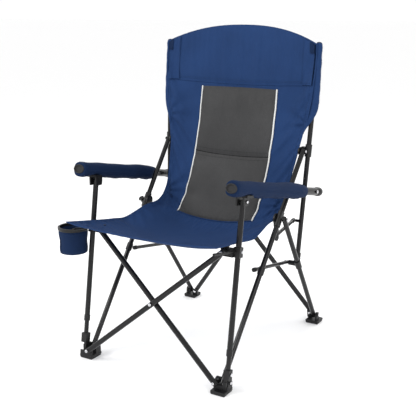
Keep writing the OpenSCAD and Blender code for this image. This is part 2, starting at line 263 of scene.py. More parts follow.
def shell(name, g, n, thick, mat, body, uv=None):
    """A closed sheet of the given thickness: g is its upper face's grid, n that grid's normals."""
    rows, cols = g.shape[:2]
    top = g.reshape(-1, 3)
    under = (g - n * (thick if np.isscalar(thick) else thick[..., None])).reshape(-1, 3)
    uv = arc_uv(g) if uv is None else uv
    at = lambda r, c: r * cols + c
    m = rows * cols
    faces = []
    for r in range(rows - 1):
        for c in range(cols - 1):
            a, b, d, e = at(r, c), at(r, c + 1), at(r + 1, c + 1), at(r + 1, c)
            faces.append((a, b, d, e))
            faces.append((m + e, m + d, m + b, m + a))
    rim = [at(0, c) for c in range(cols)] + [at(r, cols - 1) for r in range(1, rows)]
    rim += [at(rows - 1, c) for c in range(cols - 2, -1, -1)] + [at(r, 0) for r in range(rows - 2, 0, -1)]
    for i, a in enumerate(rim):
        b = rim[(i + 1) % len(rim)]
        faces.append((b, a, m + a, m + b))
    flat = uv.reshape(-1, 2)
    nn = n.reshape(-1, 3)
    return mesh_object(name, np.concatenate([top, under]), faces, mat, body,
                       normals=np.concatenate([nn, -nn]), uvs=np.concatenate([flat, flat]))


def rope(name, line, radius, mat, body, up=None, flat=1.0, segments=10):
    """A round or flattened tube along a line of points. up gives its flat side's normal at each point."""
    line = np.asarray(line, float)
    t = unit(np.gradient(line, axis=0))
    ref = np.tile([0.0, 0.0, 1.0], (len(line), 1)) if up is None else np.asarray(up, float)
    side = unit(np.cross(t, ref))
    nrm = unit(np.cross(side, t))
    r = np.full(len(line), radius) if np.isscalar(radius) else np.asarray(radius)
    a = np.linspace(0, 2 * np.pi, segments, endpoint=False)
    ring = (side[:, None] * np.cos(a)[None, :, None] + nrm[:, None] * (np.sin(a) * flat)[None, :, None])
    verts = (line[:, None] + ring * r[:, None, None]).reshape(-1, 3)
    faces = []
    for i in range(len(line) - 1):
        for j in range(segments):
            k = (j + 1) % segments
            faces.append((i * segments + j, i * segments + k, (i + 1) * segments + k, (i + 1) * segments + j))
    faces.append(tuple(range(segments - 1, -1, -1)))
    faces.append(tuple((len(line) - 1) * segments + j for j in range(segments)))
    length = np.concatenate([[0], np.cumsum(np.linalg.norm(np.diff(line, axis=0), axis=1))])
    uv = np.stack([np.tile(a * float(np.mean(r)), len(line)), np.repeat(length, segments)], axis=1)
    return mesh_object(name, verts, faces, mat, body, uvs=uv)


def stitches(name, line, up, body, pitch=0.0046, length=0.0031, radius=0.00042, mat=None):
    """A row of raised thread stitches lying on a seam line."""
    line, up = np.asarray(line, float), np.asarray(up, float)
    s = np.concatenate([[0], np.cumsum(np.linalg.norm(np.diff(line, axis=0), axis=1))])
    verts, faces, uvs = [], [], []
    for d in np.arange(pitch, s[-1] - pitch, pitch):
        ends = [np.array([np.interp(d + e, s, line[:, k]) for k in range(3)])
                for e in (-length / 2, 0, length / 2)]
        n = unit(np.array([np.interp(d, s, up[:, k]) for k in range(3)]))
        t = unit(ends[2] - ends[0])
        b = np.cross(t, n)
        base = len(verts)
        for p, lift, r in ((ends[0], 0.0, 0.55), (ends[1], 0.9, 1.0), (ends[2], 0.0, 0.55)):
            for q in range(6):
                ang = q * math.pi / 3
                verts.append(p + n * radius * lift + (b * math.cos(ang) + n * math.sin(ang)) * radius * r)
                uvs.append((q * 0.0002, d))
        for i in range(2):
            for q in range(6):
                w = (q + 1) % 6
                faces.append((base + i * 6 + q, base + i * 6 + w, base + i * 6 + 6 + w, base + i * 6 + 6 + q))
        faces.append(tuple(base + q for q in range(5, -1, -1)))
        faces.append(tuple(base + 12 + q for q in range(6)))
    return mesh_object(name, verts, faces, mat or thread, body, uvs=uvs)


def lathe(name, profile, origin, axis, mat, body, segments=28):
    """A turned piece: profile is (radius, height along the axis) points in metres."""
    w = unit(axis)
    u = unit(np.cross(w, [0.31, 0.77, 0.55]))
    v = np.cross(w, u)
    a = np.linspace(0, 2 * np.pi, segments, endpoint=False)
    verts, faces, uvs = [], [], []
    for r, h in profile:
        for ang in a:
            verts.append(np.asarray(origin) + w * h + (u * math.cos(ang) + v * math.sin(ang)) * max(r, 1e-5))
            uvs.append((ang * r, h))
    for i in range(len(profile) - 1):
        for j in range(segments):
            k = (j + 1) % segments
            faces.append((i * segments + j, i * segments + k, (i + 1) * segments + k, (i + 1) * segments + j))
    return mesh_object(name, verts, faces, mat, body, uvs=uvs)


# ---------------------------------------------------------------- sling cloth: seat and back as one sheet
# stations along the sling: half width, edge y, edge z, middle y, middle z
STATIONS = np.array([
    [266, -69, 463, -69, 451], [259, -10, 453, -10, 438], [250, 80, 438, 80, 415], [246, 140, 429, 140, 407],
    [243, 200, 422, 200, 401], [236, 300, 441, 296, 398], [233, 380, 447, 350, 405],
    [232, 426, 486, 386, 455], [236, 452, 552, 430, 536], [245, 478, 626, 468, 604],
    [256, 491, 690, 496, 682], [267, 502, 742, 512, 738], [277, 508, 806, 528, 806],
    [282, 514, 870, 541, 880], [283, 521, 930, 551, 940], [284, 525, 970, 558, 985],
    [283, 528, 990, 561, 1041]], float)
CREASE_ROW = 6
SEAT_SPLIT_ROW = 3
ROWS_PER = 7
COLS = 61
ARCH_STATIONS = 3
SETTLE_FRAMES = 26
SETTLE_LIMIT = 0.016


def build_sling():
    rows = []
    u = np.linspace(-1, 1, COLS)
    for w, ey, ez, my, mz in STATIONS:
        sag = 1 - np.abs(u) ** 2.2
        rows.append(np.stack([w * u, ey + (my - ey) * sag, ez + (mz - ez) * sag], axis=1))
    rows = np.array(rows)
    rows[-1, :, 1] = 527 + 34 * (1 - np.abs(u) ** 2.2)
    rows[-1, :, 2] = 984 + 57 * (1 - np.abs(u) ** 2.3)
    g = refine(rows, ROWS_PER)[:, ::ROWS_PER]
    # over the last stations each column's heights are spaced evenly, up to the arched top
    low, high = len(g) - 1 - ARCH_STATIONS * ROWS_PER, len(g) - 1
    share = np.linspace(0, 1, high - low + 1)
    for i in range(COLS):
        z0, z1 = g[low, i, 2], g[high, i, 2]
        g[low:high + 1, i, 2] = z0 + (z1 - z0) * share
    return g / 1000 + np.array([SHIFT_X, SHIFT_Y, 0])


def relax(g):
    """Drape the sling: pinned at its edges and crease, it settles with a little spare cloth."""
    rows, cols = g.shape[:2]
    mesh = bpy.data.meshes.new("drape")
    faces = [(r * cols + c, r * cols + c + 1, (r + 1) * cols + c + 1, (r + 1) * cols + c)
             for r in range(rows - 1) for c in range(cols - 1)]
    mesh.from_pydata([tuple(p) for p in g.reshape(-1, 3)], [], faces)
    obj = bpy.data.objects.new("drape", mesh)
    bpy.context.scene.collection.objects.link(obj)
    group = obj.vertex_groups.new(name="pin")
    crease = CREASE_ROW * ROWS_PER
    for r in range(rows):
        for c in range(cols):
            edge = c in (0, cols - 1) or r in (0, rows - 1) or r == crease
            group.add([r * cols + c], 1.0 if edge else 0.0, "REPLACE")
    cloth = obj.modifiers.new("cloth", "CLOTH")
    st = cloth.settings
    st.vertex_group_mass = "pin"
    st.quality = 6
    st.mass = 0.25
    st.tension_stiffness = 60
    st.compression_stiffness = 25
    st.shear_stiffness = 12
    st.bending_stiffness = 1.2
    st.shrink_min = -0.012
    cloth.collision_settings.use_self_collision = False
    cloth.point_cache.frame_end = SETTLE_FRAMES
    scene = bpy.context.scene
    for f in range(1, SETTLE_FRAMES + 1):
        scene.frame_set(f)
    graph = bpy.context.evaluated_depsgraph_get()
    done = obj.evaluated_get(graph).to_mesh()
    out = np.array([v.co for v in done.vertices], float).reshape(rows, cols, 3)
    bpy.data.objects.remove(obj)
    scene.frame_set(1)
    move = out - g
    size = np.linalg.norm(move, axis=2, keepdims=True)
    return g + move * np.minimum(1, SETTLE_LIMIT / np.maximum(size, 1e-9))


def pull_lines(g, n):
    """Tension folds that fan out of the seat's rear and front corners and the back's edges."""
    rows, cols = g.shape[:2]
    p = g - np.array([SHIFT_X, SHIFT_Y, 0])
    out = np.zeros((rows, cols))
    for side in (-1, 1):
        for origin, reach, count, amp in (((side * 0.228, 0.42, 0.47), 0.15, 9, 0.0032),
                                          ((side * 0.262, -0.06, 0.455), 0.10, 7, 0.0016),
                                          ((side * 0.272, 0.505, 0.73), 0.14, 8, 0.0024)):
            d = p - np.array(origin)
            dist = np.linalg.norm(d, axis=2)
            ang = np.arctan2(d[..., 2] + d[..., 1] * 0.6, np.abs(d[..., 0]) + 1e-6)
            near = np.exp(-(dist / reach) ** 2) * np.clip(dist / 0.03, 0, 1)
            out += amp * np.sin(ang * count + 1.3 * side) * near
    fade = np.clip(np.minimum(np.arange(cols), np.arange(cols)[::-1]) / (cols * 0.04), 0, 1)
    return g + n * (out * fade[None, :])[..., None]


sling = build_sling()
sling = relax(sling)
sling = refine(sling, 3)
STEP = ROWS_PER * 3
CREASE = CREASE_ROW * STEP
SPLIT = SEAT_SPLIT_ROW * STEP
sling = pull_lines(sling, grid_normals(sling))
normal = grid_normals(sling)
ROWS_N, COLS_N = sling.shape[:2]
cloth_uv = arc_uv(sling)
THICK = 0.0014


def fold_with(obj):
    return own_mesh(obj)


def on_sling(row, col, lift=0.0):
    """Point and normal on the sling at fractional grid rows and columns (arrays of one length)."""
    row = np.clip(np.asarray(row, float), 0, ROWS_N - 1.001)
    col = np.clip(np.asarray(col, float), 0, COLS_N - 1.001)
    r0, c0 = row.astype(int), col.astype(int)
    fr, fc = (row - r0)[..., None], (col - c0)[..., None]
    def mix(a):
        return ((a[r0, c0] * (1 - fc) + a[r0, c0 + 1] * fc) * (1 - fr)
                + (a[r0 + 1, c0] * (1 - fc) + a[r0 + 1, c0 + 1] * fc) * fr)
    n = unit(mix(normal))
    return mix(sling) + n * lift, n


def col_at(row, x):
    """Column whose chair x is x (metres) on each given row."""
    row = np.atleast_1d(np.asarray(row, float))
    base = sling[np.clip(np.round(row).astype(int), 0, ROWS_N - 1)][:, :, 0] - SHIFT_X
    return np.array([np.interp(x if np.isscalar(x) else x[i], base[i], np.arange(COLS_N))
                     for i in range(len(row))])


def row_at(z, col):
    """Row of the back at height z in a column."""
    zs = sling[CREASE:, int(round(col)), 2]
    return CREASE + np.interp(z, zs, np.arange(len(zs)))


# rows of each part of the sling, and the body it goes with
PARTS = {"seat_front": (0, SPLIT), "seat_rear": (SPLIT, CREASE), "back": (CREASE, ROWS_N - 1)}
BODY = {"seat_front": "seat_front", "seat_rear": "seat_rear", "back": "back_l"}
sheets = {}
for part, (a, b) in PARTS.items():
    sheets[part] = shell(f"{part}_cloth", sling[a:b + 1], normal[a:b + 1], THICK, navy, BODY[part],
                         uv=cloth_uv[a:b + 1])
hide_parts("seat_front")
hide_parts("seat_rear")
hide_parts("back_fabric")


def flat_size(a, b):
    w = np.linalg.norm(np.diff(sling[a:b + 1], axis=1), axis=2).sum(1)
    l = np.linalg.norm(np.diff(sling[a:b + 1], axis=0), axis=2).sum(0)
    g = sling[a:b + 1]
    area = 0.5 * (np.linalg.norm(np.cross(g[1:, :-1] - g[:-1, :-1], g[:-1, 1:] - g[:-1, :-1]), axis=2)
                  + np.linalg.norm(np.cross(g[1:, :-1] - g[1:, 1:], g[:-1, 1:] - g[1:, 1:]), axis=2)).sum()
    return round(float(w.max()), 3), round(float(l.max()), 3), round(float(area), 4)


for part, (a, b) in PARTS.items():
    w, l, area = flat_size(a, b)
    fold_with(sheets[part])

# bindings and seams on the seat and back edges
HEM_INSET = 0.0105
for part, (a, b) in PARTS.items():
    rows = np.arange(a, b + 1)
    for k, col in (("l", 0.35), ("r", COLS_N - 1.36)):
        p, n = on_sling(rows, np.full(len(rows), col), -THICK / 2)
        edge = rope(f"{part}_binding_{k}", p, 0.0029, navy, BODY[part], up=n, flat=0.62)
        fold_with(edge)
        x = np.abs(sling[rows, 0, 0] - SHIFT_X) - HEM_INSET
        cols = col_at(rows, (-x if k == "l" else x))
        p, n = on_sling(rows, cols, 0.0002)
        fold_with(stitches(f"{part}_hem_thread_{k}", p, n, BODY[part]))
SEAM_POINTS = 160
cols = np.linspace(0, COLS_N - 1, SEAM_POINTS)
for name, row, part in (("seat_front_binding", 0.4, "seat_front"), ("arch_binding", ROWS_N - 1.4, "back")):
    p, n = on_sling(np.full(SEAM_POINTS, row), cols, -THICK / 2)
    fold_with(rope(name, p, 0.0031, navy, BODY[part], up=n, flat=0.66))
for name, dist in (("seat_front_thread", 0.010), ("seat_front_thread_b", 0.0135)):
    row = dist / np.linalg.norm(sling[STEP, COLS_N // 2] - sling[0, COLS_N // 2]) * STEP
    p, n = on_sling(np.full(SEAM_POINTS, row), cols, 0.0002)
    fold_with(stitches(name, p, n, BODY["seat_front"]))
top_pitch = np.linalg.norm(sling[-1, COLS_N // 2] - sling[-2, COLS_N // 2])
for k, dist in enumerate((0.009, 0.0125)):
    p, n = on_sling(np.full(SEAM_POINTS, ROWS_N - 1 - dist / top_pitch), cols, 0.0002)
    fold_with(stitches(f"arch_thread_{k}", p, n, "back_l"))

# headband: a second layer across the top, with its sewn lower edge
BAND_Z, BAND_ROWS = 0.846, 60
band_cols = np.arange(2, COLS_N - 2)
BAND_N = len(band_cols)
band_low = np.array([row_at(BAND_Z + 0.010 * (abs(c / (COLS_N - 1) * 2 - 1)) ** 2, c) for c in band_cols])
band_v = np.linspace(0, 1, BAND_ROWS)
band_rows = band_v[:, None] * (ROWS_N - 1.8 - band_low)[None, :] + band_low[None, :]
puff = np.sin(band_v * np.pi)[:, None] ** 0.5 * 0.0045
puff = puff * (1 - np.abs(np.linspace(-1, 1, BAND_N)) ** 6)[None, :] + 0.0016
drift = rng.normal(0, 0.4, 4)
ripple = (0.0007 * np.sin(band_cols * 0.11 + drift[0])[None, :]
          * np.sin(np.linspace(0, 5, BAND_ROWS) + drift[1])[:, None])
bp, bn = on_sling(band_rows, np.tile(band_cols, (BAND_ROWS, 1)))
band = bp + bn * (puff + ripple)[..., None]
even = band.copy()
for _ in range(3):
    even[1:-1] = (even[:-2] + 2 * even[1:-1] + even[2:]) / 4
    even[:, 1:-1] = (even[:, :-2] + 2 * even[:, 1:-1] + even[:, 2:]) / 4
head = shell("headband", band, grid_normals(even), 0.0010, navy, "back_l")
fold_with(head)
for k, up_rows in enumerate((2, 3.3)):
    line = band[int(up_rows)] * (1 - (up_rows % 1)) + band[int(up_rows) + 1] * (up_rows % 1)
    fold_with(stitches(f"headband_thread_{k}", line + bn[2] * 0.0003, bn[2], "back_l"))
fold_with(rope("headband_hem", band[0] - bn[0] * 0.0004, 0.0017, navy, "back_l",
               up=bn[0], flat=0.8))


def corner(name, side, inner, outer, low_z, lift, mat):
    """A panel in the headband's upper corner, from x inner to outer, sewn along its inner and low edges."""
    rows, count = 40, 24
    v, u = np.linspace(0, 1, rows), np.linspace(0, 1, count)
    xs = side * (inner + (outer - inner) * u)
    xs = xs[::-1] if side < 0 else xs
    cols_c = np.tile(col_at(np.full(count, ROWS_N - 12), xs), (rows, 1))
    low = np.array([row_at(low_z, c) for c in cols_c[0]])
    rows_c = low[None, :] + (ROWS_N - 1.9 - low)[None, :] * v[:, None]
    base, nn = on_sling(rows_c, cols_c)
    patch = base + nn * lift * (1 - 0.2 * v[:, None, None])
    fold_with(shell(name, patch, grid_normals(patch), 0.0011, mat, "back_l"))
    edge = 1 if side > 0 else -2
    fold_with(stitches(name + "_thread", patch[:, edge] + nn[:, edge] * 0.0003, nn[:, edge],
                       "back_l"))
    fold_with(stitches(name + "_thread_low", patch[1] + nn[1] * 0.0003, nn[1], "back_l"))


# the headband's side panels, with a small dark tab at each outer corner
for side, k in ((-1, "l"), (1, "r")):
    corner(f"headband_side_{k}", side, 0.236, 0.280, BAND_Z + 0.0085, 0.0062, navy)
    corner(f"corner_tab_{k}", side, 0.262, 0.2805, 0.955, 0.0079, navy_dark)

# ---------------------------------------------------------------- padded panel with piping
PANEL_HALF, PANEL_TOP, PANEL_MID = 0.143, 0.836, 0.603
PAD_ROWS, PAD_COLS = 121, 81
mid_col = (COLS_N - 1) / 2
pad_v = np.linspace(0, 1, PAD_ROWS)
pad_u = np.linspace(-1, 1, PAD_COLS)
mid_share = (row_at(PANEL_MID, mid_col) - CREASE) / (row_at(PANEL_TOP, mid_col) - CREASE)
rows_p, cols_p = np.zeros((PAD_ROWS, PAD_COLS)), np.zeros((PAD_ROWS, PAD_COLS))
for i, v in enumerate(pad_v):
    row = CREASE + 1.5 + v * (row_at(PANEL_TOP, mid_col) - CREASE - 1.5)
    rows_p[i] = row
    cols_p[i] = col_at(np.full(PAD_COLS, row), pad_u * PANEL_HALF)
pad_base, pad_n = on_sling(rows_p, cols_p)
across = np.clip(1 - np.abs(pad_u) ** 5, 0, 1) ** 0.5
lower = np.clip(pad_v / mid_share, 0, 1)
upper = np.clip((pad_v - mid_share) / (1 - mid_share), 0, 1)
crown = np.where(pad_v < mid_share, (1 - np.abs(2 * lower - 1) ** 6), (1 - np.abs(2 * upper - 1) ** 6))
crown = np.clip(crown, 0, 1) ** 0.6
near_seam = np.exp(-((pad_v - mid_share) / 0.05) ** 2)
pucker = np.sin(pad_u * 52 + 0.8 * np.sin(pad_u * 17))[None, :] * near_seam[:, None] * 0.0007
near_edge = np.exp(-((1 - np.abs(pad_u)) / 0.09) ** 2)
edge_pucker = np.sin(pad_v * 95 + np.sin(pad_v * 31))[:, None] * near_edge[None, :] * 0.0005
rumple = 0.0009 * np.sin(pad_u * 5.1 + 2.0)[None, :] * np.sin(pad_v * 13.0 + 0.7)[:, None]
height = (0.0026 + 0.0135 * across[None, :] * crown[:, None] + pucker + edge_pucker
          + rumple * across[None, :] * crown[:, None])
pad = pad_base + pad_n * height[..., None]
pad_obj = shell("back_panel", pad, grid_normals(pad), height - 0.0004, grey, "back_l")
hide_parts("back_pad")
fold_with(pad_obj)
mid_i = int(round(mid_share * (PAD_ROWS - 1)))
# near-black rope in the middle seam's valley: the seam itself, plus painted shade of the valley
fold_with(rope("panel_mid_seam", pad[mid_i] + pad_n[mid_i] * 0.0002, 0.0019, panel_seam_shade_mat, "back_l",
               up=pad_n[mid_i], flat=0.5))
for k, off in enumerate((-3, 3)):
    line = pad[mid_i + off]
    fold_with(stitches(f"panel_thread_{k}", line + pad_n[mid_i + off] * 0.0003, pad_n[mid_i + off], "back_l",
                       mat=panel_seam_shade_mat))
for side, k in ((0, "l"), (PAD_COLS - 1, "r")):
    out = unit(np.gradient(pad_base, axis=1))[:, side] * (-1 if side == 0 else 1)
    line = pad_base[:, side] + pad_n[:, side] * 0.0024 + out * 0.0014
    fold_with(rope(f"piping_{k}", line, 0.0027, white, "back_l",
                   up=pad_n[:, side], segments=12))
    flange = pad_base[:, side] + pad_n[:, side] * 0.0004 + out * 0.0052
    fold_with(stitches(f"piping_thread_{k}", flange + pad_n[:, side] * 0.0002, pad_n[:, side],
                       "back_l"))
for name, row in (("panel_top_seam", PAD_ROWS - 1), ("panel_low_seam", 0)):
    fold_with(rope(name, pad_base[row] + pad_n[row] * 0.0016, 0.0021, navy, "back_l",
                   up=pad_n[row], flat=0.8))

# ---------------------------------------------------------------- cloth sleeves over the back posts
SLEEVE_R, SNUG_R, MOUTH_R = 0.0150, 0.0108, 0.0035
SLEEVE_RINGS, MOUTH_RINGS = 90, 48
MOUTH_LOW = 0.702
for side, k in ((-1, "l"), (1, "r")):
    outward = unit(np.array([side * 0.9, 0.44, 0.0]))
    zs = np.linspace(0.796, 0.9915, SLEEVE_RINGS)
    slack = np.clip((0.985 - zs) / 0.16, 0, 1)
    line = np.array([post_at(z, side) for z in zs]) + outward * (0.0032 * slack[:, None])
    ring = SNUG_R + (SLEEVE_R - SNUG_R) * slack + 0.0004 * np.sin(zs * 150 + side) + 0.0003 * np.sin(zs * 97)
    ring[-6:] = np.array([0.0106, 0.0103, 0.0098, 0.0088, 0.0070, 0.0034])
    sleeve = rope(f"post_sleeve_cloth_{k}", line, ring, navy, f"back_{k}",
                  up=np.tile([0, -1, 0], (SLEEVE_RINGS, 1)), segments=32)
    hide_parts(f"post_sleeve_{k}")
    stitches(f"post_sleeve_thread_{k}", line + outward * (ring + 0.0004)[:, None],
             np.tile(outward, (SLEEVE_RINGS, 1)), f"back_{k}")
    # the sleeve's mouth runs out slantwise into the edge of the back
    mouth_z = np.linspace(MOUTH_LOW, 0.802, MOUTH_RINGS)
    t = np.clip((mouth_z - MOUTH_LOW) / 0.088, 0, 1)[:, None]
    t = t * t * (3 - 2 * t)
    edge_x = np.interp(mouth_z, [0.690, 0.742, 0.806], [0.2545, 0.2655, 0.2755])
    edge_y = np.interp(mouth_z, [0.690, 0.742, 0.806], [0.492, 0.503, 0.509])
    hem = np.stack([side * edge_x + SHIFT_X, edge_y + SHIFT_Y, mouth_z], axis=1)
    core = np.array([post_at(z, side) for z in mouth_z]) + outward * 0.0032
    mouth = rope(f"post_sleeve_mouth_{k}", hem * (1 - t) + core * t, MOUTH_R + (SLEEVE_R - MOUTH_R) * t[:, 0],
                 navy, f"back_{k}", up=np.tile([0, -1, 0], (MOUTH_RINGS, 1)), segments=28)
    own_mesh(mouth)

# ---------------------------------------------------------------- padded arms
SLOPE = math.radians(11.6)
YAW = math.radians(3.08)
PAD_FROM, PAD_TO = -0.004, 0.442
PLUG = [(0.0, -0.0026), (0.0060, -0.0026), (0.0100, -0.0030), (0.0106, -0.0042), (0.0108, -0.0068),
        (0.0120, -0.0078), (0.0134, -0.0072), (0.0141, -0.0050), (0.0141, 0.0)]
END_CAP = [(0.0136, 0.526), (0.0150, 0.528), (0.0152, 0.543), (0.0146, 0.549), (0.0122, 0.5515),
           (0.0, 0.5520)]
n_len, n_ring = 120, 56
d = np.linspace(PAD_FROM, PAD_TO, n_len)
a = np.linspace(0, 2 * np.pi, n_ring, endpoint=False)
ends = np.clip(np.minimum((d - PAD_FROM) / 0.010, (PAD_TO - d) / 0.016), 0, 1) ** 0.4
for side, k in ((-1, "l"), (1, "r")):
    start = S(side * 270, 8, 614)
    fwd = np.array([side * math.sin(YAW) * math.cos(SLOPE), math.cos(YAW) * math.cos(SLOPE),
                    -math.sin(SLOPE)])
    side_v = unit(np.cross(fwd, [0, 0, 1]))
    up_v = np.cross(side_v, fwd)
    verts = []
    uvs = []
    for i, s in enumerate(d):
        sag = 0.0005 * math.sin(s * 21 + side) + 0.0005 * math.sin(s * 57 + 2)
        hump = 0.0030 * math.exp(-((s - 0.33) / 0.07) ** 2)
        taper = min(1, 0.66 + 0.34 * math.sqrt(max(0, (PAD_TO - s) / 0.055)))
        pinch = 0.0058 * math.exp(-((s - 0.070) / 0.024) ** 2)
        for ang in a:
            c, q = math.cos(ang), math.sin(ang)
            w = 0.0228 * math.copysign(abs(c) ** 0.80, c)
            top, bottom = 0.0222 + hump, 0.0245 - pinch - 0.0028 * math.exp(-(s - 0.070) ** 2 / 0.0006)
            h = (top if q > 0 else bottom) * math.copysign(abs(q) ** 0.78, q)
            low = math.exp(-((ang - 1.5 * math.pi) / 0.9) ** 2)
            pucker = (0.0009 * math.sin(s * 190 + 2 * math.sin(s * 83))
                      + 0.0011 * math.sin(s * 63 + side)) * low
            grow = (0.80 + 0.20 * ends[i]) * taper
            gather = 0.05 * (1 - taper) * math.sin(ang * 9 + s * 20)
            wave = (1 + (0.008 * math.sin(s * 27 + ang * 2) + 0.007 * math.sin(s * 71 - ang * 3)) * ends[i]
                    + gather)
            rise = h * grow * wave + sag * max(q, 0) + pucker
            verts.append(start + fwd * s + side_v * w * grow * wave + up_v * rise)
            uvs.append((ang * 0.023, s))
    faces = []
    for i in range(n_len - 1):
        for j in range(n_ring):
            m = (j + 1) % n_ring
            faces.append((i * n_ring + j, i * n_ring + m, (i + 1) * n_ring + m, (i + 1) * n_ring + j))
    # the ends turn in to the tube
    for row, rad, wide, dd in ((0, 0.0136, 0.0182, -0.0035), (n_len - 1, 0.0138, 0.0138, 0.4415)):
        base = len(verts)
        for ang in a:
            verts.append(start + fwd * dd + side_v * wide * math.cos(ang) + up_v * rad * math.sin(ang))
            uvs.append((ang * 0.014, dd))
        for j in range(n_ring):
            m = (j + 1) % n_ring
            f = (row * n_ring + m, row * n_ring + j, base + j, base + m)
            faces.append(f if row == 0 else f[::-1])
    pad_arm = mesh_object(f"arm_pad_{k}", verts, faces, navy_dark, f"arm_{k}", uvs=uvs)
    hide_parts(f"arm_sleeve_{k}")
    for tag, ang in (("in", 0.06), ("out", math.pi - 0.06)):
        r = np.array([math.cos(ang) * 0.0232, math.sin(ang) * 0.0232])
        line = start + fwd * np.linspace(0.012, 0.428, 90)[:, None] + side_v * r[0] + up_v * (r[1] - 0.004)
        stitches(f"arm_thread_{k}_{tag}", line, np.tile(side_v * math.copysign(1, math.cos(ang)), (90, 1)),
                 f"arm_{k}")
    for tag, dist in (("front", 0.010), ("rear", 0.396)):
        t = np.linspace(0.05, math.pi - 0.05, 60)
        line = np.array([start + fwd * dist
                         + side_v * 0.0231 * math.copysign(abs(math.cos(x)) ** 0.8, math.cos(x))
                         + up_v * 0.0232 * abs(math.sin(x)) ** 0.78 for x in t])
        out = np.array([side_v * math.cos(x) + up_v * math.sin(x) for x in t])
        stitches(f"arm_end_thread_{k}_{tag}", line, out, f"arm_{k}")
    # oval front plug with a recessed face
    obj = lathe(f"arm_plug_{k}", PLUG, start, fwd, rubber, f"arm_{k}", 48)
    co = np.array([v.co for v in obj.data.vertices])
    co += np.outer((co - start) @ side_v, side_v) * 0.34
    obj.data.vertices.foreach_set("co", co.ravel())
    lathe(f"arm_end_cap_{k}", END_CAP, start, fwd, plastic, f"arm_{k}", 32)

# ---------------------------------------------------------------- cup holder pouch and rim
CUP = S(-320, 22, 0)
CUP_TOP, CUP_H = 0.420, 0.084
CUP_RINGS, CUP_SEGMENTS = 40, 64
cup_profile = []
for i in range(CUP_RINGS):
    t = i / (CUP_RINGS - 1)
    r = 0.0455 + 0.0012 * math.sin(t * 9) - 0.0025 * t * t
    cup_profile.append((r, CUP_TOP - 0.006 - (CUP_H - 0.006) * t))
cup_profile += [(0.040, CUP_TOP - CUP_H - 0.0012), (0.02, CUP_TOP - CUP_H - 0.0016),
                (0.0, CUP_TOP - CUP_H - 0.0016)]
inner = [(0.0, CUP_TOP - CUP_H + 0.002), (0.036, CUP_TOP - CUP_H + 0.002), (0.0405, CUP_TOP - CUP_H + 0.006)]
inner += [(0.0425, CUP_TOP - 0.04), (0.0428, CUP_TOP - 0.006)]
pouch = lathe("cup_pouch_cloth", inner + cup_profile, CUP, (0, 0, 1), navy_dark, "post_l",
              CUP_SEGMENTS)
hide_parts("cup_pouch")
ring = [(0.0424, CUP_TOP - 0.009), (0.0424, CUP_TOP - 0.001), (0.0436, CUP_TOP + 0.0006),
        (0.0470, CUP_TOP + 0.0006), (0.0484, CUP_TOP - 0.001), (0.0486, CUP_TOP - 0.008),
        (0.0474, CUP_TOP - 0.0098), (0.0424, CUP_TOP - 0.009)]
lathe("cup_rim_ring", ring, CUP, (0, 0, 1), plastic, "post_l", CUP_SEGMENTS)
a = np.linspace(0, 2 * np.pi, 120)
for k, (z, r) in enumerate(((CUP_TOP - 0.018, 0.0462), (CUP_TOP - CUP_H + 0.006, 0.0442))):
    line = np.stack([CUP[0] + r * np.cos(a), CUP[1] + r * np.sin(a), np.full(120, z)], axis=1)
    stitches(f"cup_thread_{k}", line, np.stack([np.cos(a), np.sin(a), 0 * a], axis=1), "post_l")
zs = np.linspace(CUP_TOP - 0.012, CUP_TOP - CUP_H + 0.003, 30)
rope("cup_side_seam", np.stack([np.full(30, CUP[0] - 0.02), np.full(30, CUP[1] - 0.0412), zs], axis=1),
     0.0012, navy_dark, "post_l", up=np.tile([0, -1, 0], (30, 1)))

# ---------------------------------------------------------------- rivets, screws and tube ends
DOME = [(0.0052, -0.0003), (0.0052, 0.0006), (0.0046, 0.0016), (0.0032, 0.0024), (0.0016, 0.0027),
        (0.0, 0.0028)]
FRONT_X, BRACKET_UP = 229, 391
REAR_X, REAR_TOP_X, REAR_TOP_UP, REAR_CROSS_UP = 239.5, 232, 635.6, 322.9


def rivet(name, point, axis, body, scale=1.0):
    lathe(f"rivet_{name}", [(r * scale, h * scale) for r, h in DOME], point, axis, steel, body,
          24)


def plane_point(x, off, up, y0, z0, lean):
    """Point up a leaning plane of tubes from its foot line (y0, z0), off millimetres behind it."""
    return S(x, y0 + off * math.cos(lean) + up * math.sin(lean),
             z0 - off * math.sin(lean) + up * math.cos(lean))


def front_point(x, off, up):
    return plane_point(x, off, up, -25, 32, LEAN)


def rear_point(x, off, up):
    return plane_point(x, off, up, 645, 30, REAR_LEAN)


front_n = np.array([0, -math.cos(LEAN), math.sin(LEAN)])
rear_n = np.array([0, -math.cos(REAR_LEAN), math.sin(REAR_LEAN)])
A_OFF, B_OFF = -8.8, 8.8
rivet("cross", front_point(0, A_OFF - 12.0, 195.5), front_n, "cross_a", 1.05)
for name, x, off, up, body in (("foot_l", -FRONT_X, A_OFF, 0, "foot_l"),
                               ("foot_r", FRONT_X, B_OFF, 0, "foot_r"),
                               ("bracket_l", -FRONT_X, B_OFF, BRACKET_UP, "post_l"),
                               ("bracket_r", FRONT_X, A_OFF, BRACKET_UP, "post_r")):
    rivet(name, front_point(x, off - 11.3, up), front_n, body)
rivet("rear_cross", rear_point(0, A_OFF - 10.5, REAR_CROSS_UP), rear_n, "rear_a", 1.0)
rivet("rear_cross_back", rear_point(0, B_OFF + 7.9, REAR_CROSS_UP), -rear_n, "rear_b", 0.8)
for name, x, off, body in (("rear_l", -REAR_X, A_OFF, "rfoot_l"), ("rear_r", REAR_X, B_OFF, "rfoot_r")):
    rivet(name, rear_point(x, off - 15.3, 0), rear_n, body)
